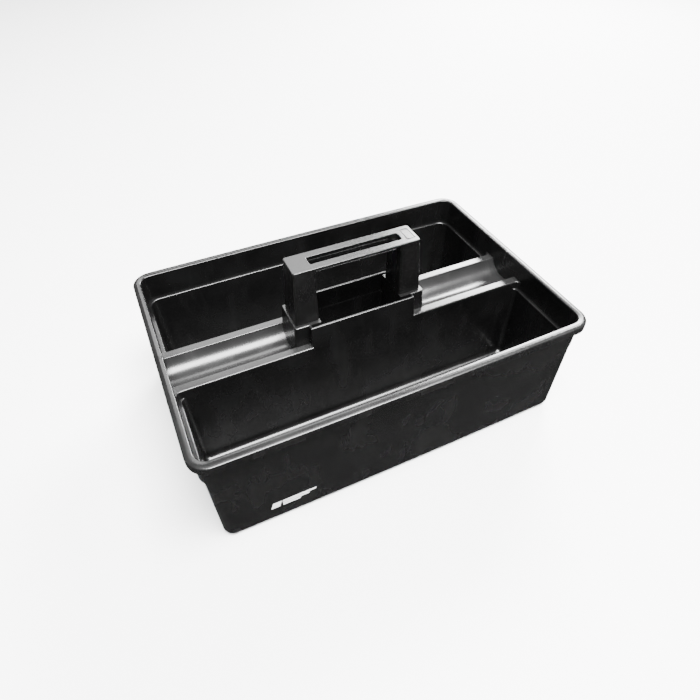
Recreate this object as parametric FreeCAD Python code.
"""Tool storage caddy: an injection-moulded tote tray with a plug-in carry handle.

Millimetres. The origin is under the middle of the tray, on the surface it stands on.
X runs along the length, Y from the front wall to the back wall, Z up.

The tray is one moulding and the handle another. The tray is written as its named
regions (rim, walls, floors, divider, troughs, sockets, centre well), which meet face to face.
"""
import FreeCAD, Part
import math
import os

os.makedirs("parts", exist_ok=True)
V = FreeCAD.Vector

# ---- driving dimensions -------------------------------------------------------------
LENGTH = 400.0            # over the rim, along X
WIDTH = 272.0             # over the rim, along Y, at the middle of the bowed sides
RIM_TOP = 131.0           # height of the rim above the floor
HANDLE_RISE = 61.6        # from the rim to the top of the grip
WALL = 2.4                # moulded wall thickness
BOW = 1.3                 # outward bow of the long sides at mid length

# rim: a flange with a down-turned lip
LIP_HEIGHT = 8.5
LIP = 2.2
FLANGE = 2.4
RIM_RADIUS = 19.0
RIM_EDGE = 1.6

# walls: insets are measured inwards from the outer edge of the rim
UPPER_OUT = 5.0           # outside face above the step
LOWER_OUT_TOP = 8.0       # outside face below the step, at its top
LOWER_OUT_FOOT = 9.0      # outside face at the floor
FRONT_OUT_TOP = 6.0       # the front wall has no step, only a draft
UPPER_IN = 7.4
LOWER_IN_TOP = 10.6
LOWER_IN_FOOT = 11.6
FRONT_IN_TOP = 8.4
LEDGE_Z = RIM_TOP - 30.5  # shelf left by the step, inside
JOG_TOP = RIM_TOP - 33.5  # the same step, outside
JOG_FOOT = RIM_TOP - 37.5
BODY_RADIUS = 15.0
INNER_RADIUS = 13.0
FLOOR = 2.6
FOOT_RADIUS = 8.0         # rounding under the walls
FLOOR_EDGE = 18.0         # inset where the flat floor plate starts

# divider: a hollow spine along X with a tool trough each side of the centre box
LAND_Z = RIM_TOP - 21.4   # top of the spine
SPINE_TOP = 28.8          # half width at its top
SPINE_FOOT = 30.6         # half width at the floor
TROUGH_HALF = 20.0
TROUGH_DEPTH = 13.5
TROUGH_END = 73.5         # where the troughs stop at the sockets

# centre box: raised panels, sockets and the well between them
BOX_TOP = RIM_TOP + 1.7
PANEL_HALF = 57.0
PANEL_Y = 26.2            # outer face of a panel at its top
PANEL = 3.0               # thickness of a panel
WELL_FLOOR_Z = 58.0
SOCKET_OUT = 71.2         # outer face of a socket at its top
SOCKET_HALF_Y = 20.4
SOCKET_HALF_Y_FOOT = 21.4

# handle: two posts and a grip
POST_OUT = 66.0
POST_IN = 44.6
POST_OUT_FOOT = 68.6
POST_IN_FOOT = 44.0
POST_Y_TOP = 14.2
POST_Y_FOOT = 16.2
GRIP_Z = RIM_TOP + HANDLE_RISE
GRIP_DEPTH = 7.0          # height of the grip's skirt
GRIP_RADIUS = 2.0
SLOT_HALF = 46.0
SLOT_HALF_Y = 5.6
PLUG_STEP = 1.4           # a post's plug is this much smaller than the post, all round
PLUG_DRAFT = 1.0          # and this much smaller again at its foot
PLUG_FOOT_Z = WELL_FLOOR_Z + WALL


# ---- outlines and simple solids -----------------------------------------------------
def bowed_outline(inset_x, inset_front, inset_back, radius, z):
    """A rounded rectangle whose long sides bow outwards, with tangent corner arcs."""
    half = LENGTH / 2 - inset_x
    bow_radius = ((LENGTH / 2) ** 2 + BOW ** 2) / (2 * BOW)
    reach = half - radius
    edges = []
    corners = {}
    for side, inset in ((-1, inset_front), (1, inset_back)):
        mid = side * (WIDTH / 2 - inset)
        bow_centre = mid - side * bow_radius
        span = math.sqrt((bow_radius - radius) ** 2 - reach ** 2)
        corner_y = bow_centre + side * span
        scale = bow_radius / (bow_radius - radius)
        touch = (reach * scale, bow_centre + (corner_y - bow_centre) * scale)
        corners[side] = (corner_y, touch)
        ends = V(-touch[0], touch[1], z), V(touch[0], touch[1], z)
        edges.append(Part.Arc(ends[0], V(0, mid, z), ends[1]).toShape())
    for end in (-1, 1):
        for side in (-1, 1):
            corner_y, touch = corners[side]
            bisect = math.atan2(side, end)
            middle = V(end * reach + radius * math.cos(bisect), corner_y + radius * math.sin(bisect), z)
            flat = V(end * half, corner_y, z)
            edges.append(Part.Arc(V(end * touch[0], touch[1], z), middle, flat).toShape())
        low, high = V(end * half, corners[-1][0], z), V(end * half, corners[1][0], z)
        edges.append(Part.LineSegment(low, high).toShape())
    return Part.Wire(Part.__sortEdges__(edges))


def tub(*levels):
    """A solid through rounded outlines: each level is (z, inset_x, inset_front, inset_back, radius)."""
    return Part.makeLoft([bowed_outline(*level[1:], level[0]) for level in levels], True, True)


def block(x0, x1, y0, y1, z0, z1):
    return Part.makeBox(x1 - x0, y1 - y0, z1 - z0, V(x0, y0, z0))


def rectangle(x0, x1, y0, y1, z):
    return Part.makePolygon([V(x0, y0, z), V(x1, y0, z), V(x1, y1, z), V(x0, y1, z), V(x0, y0, z)])


def taper(foot, top):
    """A four-sided drafted block: foot and top are (x0, x1, y0, y1, z)."""
    return Part.makeLoft([rectangle(*foot), rectangle(*top)], True, True)


def round_edges(solid, radius, wanted):
    edges = [edge for edge in solid.Edges if wanted(edge.BoundBox)]
    return solid.makeFillet(radius, edges)


def upright(box):
    """True for an edge that runs up the solid."""
    return box.ZLength > 5 and box.XLength < 6 and box.YLength < 6


def extruded_x(points, x0, x1):
    """A prism along X from a closed (y, z) outline."""
    face = Part.Face(Part.makePolygon([V(x0, y, z) for y, z in points + points[:1]]))
    return face.extrude(V(x1 - x0, 0, 0))


def mirrored_x(solid):
    return solid.mirror(V(0, 0, 0), V(1, 0, 0))


def export(name, solid):
    solid = solid.removeSplitter()
    if len(solid.Solids) == 1:
        solid = solid.Solids[0]
    solid.exportStep(f"parts/{name}.step")
    box = solid.BoundBox
    print(f"{name:22s} valid {solid.isValid()} solids {len(solid.Solids)} volume {solid.Volume / 1000:8.2f} cm3"
          f"  x {box.XMin:.1f}..{box.XMax:.1f} y {box.YMin:.1f}..{box.YMax:.1f} z {box.ZMin:.1f}..{box.ZMax:.1f}")


# ---- tray: the tub and its rim ------------------------------------------------------
def front_out(z):
    """Inset of the front wall's outside face at height z."""
    return LOWER_OUT_FOOT + (FRONT_OUT_TOP - LOWER_OUT_FOOT) * z / RIM_TOP


def front_in(z):
    return LOWER_IN_FOOT + (FRONT_IN_TOP - LOWER_IN_FOOT) * z / RIM_TOP


def out_level(z, inset):
    return z, inset, front_out(z), inset, BODY_RADIUS


def in_level(z, inset):
    return z, inset, front_in(z), inset, INNER_RADIUS


def tub_outside():
    body = tub(out_level(0, LOWER_OUT_FOOT), out_level(JOG_FOOT, LOWER_OUT_TOP),
               out_level(JOG_TOP, UPPER_OUT), out_level(RIM_TOP, UPPER_OUT))
    return round_edges(body, FOOT_RADIUS, lambda box: box.ZMax < 0.01)


def tub_inside():
    upper = tub(in_level(LEDGE_Z, UPPER_IN), in_level(RIM_TOP + 1, UPPER_IN))
    lower = tub(in_level(FLOOR, LOWER_IN_FOOT), in_level(LEDGE_Z + 1, LOWER_IN_TOP))
    lower = round_edges(lower, FOOT_RADIUS - WALL, lambda box: box.ZMax < FLOOR + 0.01)
    return upper.fuse(lower)


def rim_flange():
    low = RIM_TOP - LIP_HEIGHT
    full = tub((low, 0, 0, 0, RIM_RADIUS), (RIM_TOP, 0, 0, 0, RIM_RADIUS))
    full = round_edges(full, RIM_EDGE, lambda box: box.ZMin > RIM_TOP - 0.01)
    channel = tub((low - 1, LIP, LIP, LIP, RIM_RADIUS - LIP),
                  (RIM_TOP - FLANGE, LIP, LIP, LIP, RIM_RADIUS - LIP))
    return full.cut(channel)


def corner_wedge(side, z0, z1):
    """The quarter of the plan that holds one side, split from its neighbours at the corners."""
    grow, keep = 6.0, 60.0
    out_x, out_y = LENGTH / 2 + grow, WIDTH / 2 + grow
    in_x, in_y = LENGTH / 2 - keep, WIDTH / 2 - keep
    plans = {
        "front": [(-out_x, -out_y), (out_x, -out_y), (in_x, -in_y), (-in_x, -in_y)],
        "back": [(-out_x, out_y), (out_x, out_y), (in_x, in_y), (-in_x, in_y)],
        "left": [(-out_x, -out_y), (-in_x, -in_y), (-in_x, in_y), (-out_x, out_y)],
        "right": [(out_x, -out_y), (in_x, -in_y), (in_x, in_y), (out_x, out_y)],
    }
    plan = plans[side]
    face = Part.Face(Part.makePolygon([V(x, y, z0) for x, y in plan + plan[:1]]))
    return face.extrude(V(0, 0, z1 - z0))


# ---- tray: the divider --------------------------------------------------------------
def spine_half(z):
    """Half width of the spine's outside at height z."""
    return SPINE_FOOT + (SPINE_TOP - SPINE_FOOT) * z / LAND_Z


def divider_wall(side, hollow):
    """One side wall of the spine, from the surface the tray stands on to under the top deck."""
    top = LAND_Z - WALL
    outer = [(side * spine_half(z), z) for z in (0, top)]
    inner = [(side * (spine_half(z) - WALL), z) for z in (top, 0)]
    wall = extruded_x(outer + inner, -LENGTH / 2, LENGTH / 2)
    return wall.common(hollow)


def deck_profile():
    """Section of the spine's flat top, as (y, z) corners."""
    under = spine_half(LAND_Z - WALL)
    return [(-under, LAND_Z - WALL), (-SPINE_TOP, LAND_Z), (SPINE_TOP, LAND_Z), (under, LAND_Z - WALL)]


def trough_channel(radius_change, x0, x1):
    """A cylinder along X that forms the trough's inside or, grown by the wall, its underside."""
    radius = (TROUGH_HALF ** 2 + TROUGH_DEPTH ** 2) / (2 * TROUGH_DEPTH)
    centre_z = LAND_Z + radius - TROUGH_DEPTH
    return Part.makeCylinder(radius + radius_change, x1 - x0, V(x0, 0, centre_z), V(1, 0, 0))


def trough(hollow):
    """The left tool trough with the flat lands beside it."""
    x0, x1 = -LENGTH / 2, -TROUGH_END
    deck = extruded_x(deck_profile(), x0, x1)
    under = trough_channel(WALL, x0, x1).common(block(x0, x1, -SPINE_TOP, SPINE_TOP, 0, LAND_Z))
    shell = deck.fuse(under).cut(trough_channel(0, x0 - 1, x1 + 1))
    return shell.common(hollow)


def spine_core():
    """The space between the divider walls and, above them, between the raised panels."""
    under = LAND_Z - WALL
    half = [(spine_half(0) - WALL, 0), (spine_half(under) - WALL, under), (PANEL_Y - PANEL, BOX_TOP)]
    outline = half + [(-y, z) for y, z in reversed(half)]
    return extruded_x(outline, -TROUGH_END, TROUGH_END)


def socket():
    """The left socket: a sleeve for the handle's post, with the deck beside it and the trough's end wall."""
    foot_z = LAND_Z - TROUGH_DEPTH - WALL
    sleeve = taper((-TROUGH_END, -POST_IN_FOOT, -SOCKET_HALF_Y_FOOT, SOCKET_HALF_Y_FOOT, foot_z),
                   (-SOCKET_OUT, -POST_IN_FOOT, -SOCKET_HALF_Y, SOCKET_HALF_Y, BOX_TOP))
    stem = block(-SOCKET_OUT, -POST_IN_FOOT, -SOCKET_HALF_Y, SOCKET_HALF_Y, WELL_FLOOR_Z, foot_z)
    well_end = block(-PANEL_HALF, -POST_IN_FOOT, -SPINE_FOOT, SPINE_FOOT, WELL_FLOOR_Z, LAND_Z)
    deck = extruded_x(deck_profile(), -TROUGH_END, -PANEL_HALF)
    return sleeve.fuse([stem, well_end.common(spine_core()), deck])


def centre_panel(side):
    """A raised panel beside the handle, flush with the divider wall that it stands on."""
    under = LAND_Z - WALL
    points = [(side * spine_half(under), under), (side * SPINE_TOP, LAND_Z), (side * PANEL_Y, BOX_TOP),
              (side * (PANEL_Y - PANEL), BOX_TOP), (side * (spine_half(under) - WALL), under)]
    return extruded_x(points, -PANEL_HALF, PANEL_HALF)


def well_floor():
    """The plate that closes the centre well between the sockets."""
    plate = block(-POST_IN_FOOT, POST_IN_FOOT, -SPINE_FOOT, SPINE_FOOT, WELL_FLOOR_Z, PLUG_FOOT_Z)
    return plate.common(spine_core())


# ---- handle -------------------------------------------------------------------------
def post_outline(grow, z, share):
    """Corners of the left post at height z: share is 0 at the seat and 1 under the grip."""
    out = POST_OUT_FOOT + (POST_OUT - POST_OUT_FOOT) * share + grow
    inner = POST_IN_FOOT + (POST_IN - POST_IN_FOOT) * share - grow
    half = POST_Y_FOOT + (POST_Y_TOP - POST_Y_FOOT) * share + grow
    return -out, -inner, -half, half, z


def post():
    """The left post: a hollow leg whose shoulder sits on the socket, with its plug below."""
    grip_foot = GRIP_Z - GRIP_DEPTH
    leg = round_edges(taper(post_outline(0, BOX_TOP, 0), post_outline(0, grip_foot, 1)), GRIP_RADIUS, upright)
    plug = post_plug_space()
    core = -PLUG_STEP - PLUG_DRAFT - WALL
    core_low = taper(post_outline(core, PLUG_FOOT_Z - 1, 0), post_outline(core, BOX_TOP, 0))
    core_high = taper(post_outline(core, BOX_TOP, 0), post_outline(core, grip_foot - WALL, 1))
    return leg.fuse(plug).cut(core_low.fuse(core_high))


def post_plug_space():
    """The space that the left post's plug takes in its socket."""
    return taper(post_outline(-PLUG_STEP - PLUG_DRAFT, PLUG_FOOT_Z, 0), post_outline(-PLUG_STEP, BOX_TOP, 0))


def grip():
    low = GRIP_Z - GRIP_DEPTH
    bar = block(-POST_OUT, POST_OUT, -POST_Y_TOP, POST_Y_TOP, low, GRIP_Z)
    bar = round_edges(bar, GRIP_RADIUS, lambda box: box.ZLength > 5)
    bar = round_edges(bar, GRIP_RADIUS / 2, lambda box: box.ZMin > GRIP_Z - 0.01)
    slot = block(-SLOT_HALF, SLOT_HALF, -SLOT_HALF_Y, SLOT_HALF_Y, low - 1, GRIP_Z + 1)
    return bar.cut(round_edges(slot, 1.5, lambda box: box.ZLength > 5))


# ---- build --------------------------------------------------------------------------
shell = tub_outside().fuse(rim_flange()).cut(tub_inside())
hollow = tub_inside().fuse(tub((0, FLOOR_EDGE, FLOOR_EDGE, FLOOR_EDGE, INNER_RADIUS),
                               (FLOOR, FLOOR_EDGE, FLOOR_EDGE, FLOOR_EDGE, INNER_RADIUS)))
lip_foot = RIM_TOP - LIP_HEIGHT
pan = tub((-1, FLOOR_EDGE, FLOOR_EDGE, FLOOR_EDGE, INNER_RADIUS),
          (FLOOR + 1, FLOOR_EDGE, FLOOR_EDGE, FLOOR_EDGE, INNER_RADIUS))
plate = shell.common(pan)
for side in ("front", "back", "left", "right"):
    export(f"rim_{side}", shell.common(corner_wedge(side, lip_foot, RIM_TOP + 1)))
    wall = shell.common(corner_wedge(side, -1, lip_foot)).cut(pan)
    export(f"wall_{side}", wall)

for side, name in ((-1, "front"), (1, "back")):
    export(f"divider_wall_{name}", divider_wall(side, hollow))
    edge = [(side * spine_half(z), z) for z in (-1, FLOOR + 1)]
    beyond = [(side * WIDTH, FLOOR + 1), (side * WIDTH, -1)]
    export(f"floor_{name}", plate.common(extruded_x(edge + beyond, -LENGTH, LENGTH)))
    export(f"centre_panel_{name}", centre_panel(side))

left = {
    "trough": trough(hollow),
    "socket": socket().cut(post_plug_space()),
    "handle_post": post(),
}
for name, solid in left.items():
    export(f"{name}_left", solid)
    export(f"{name}_right", mirrored_x(solid))

export("well_floor", well_floor())
export("handle_grip", grip())
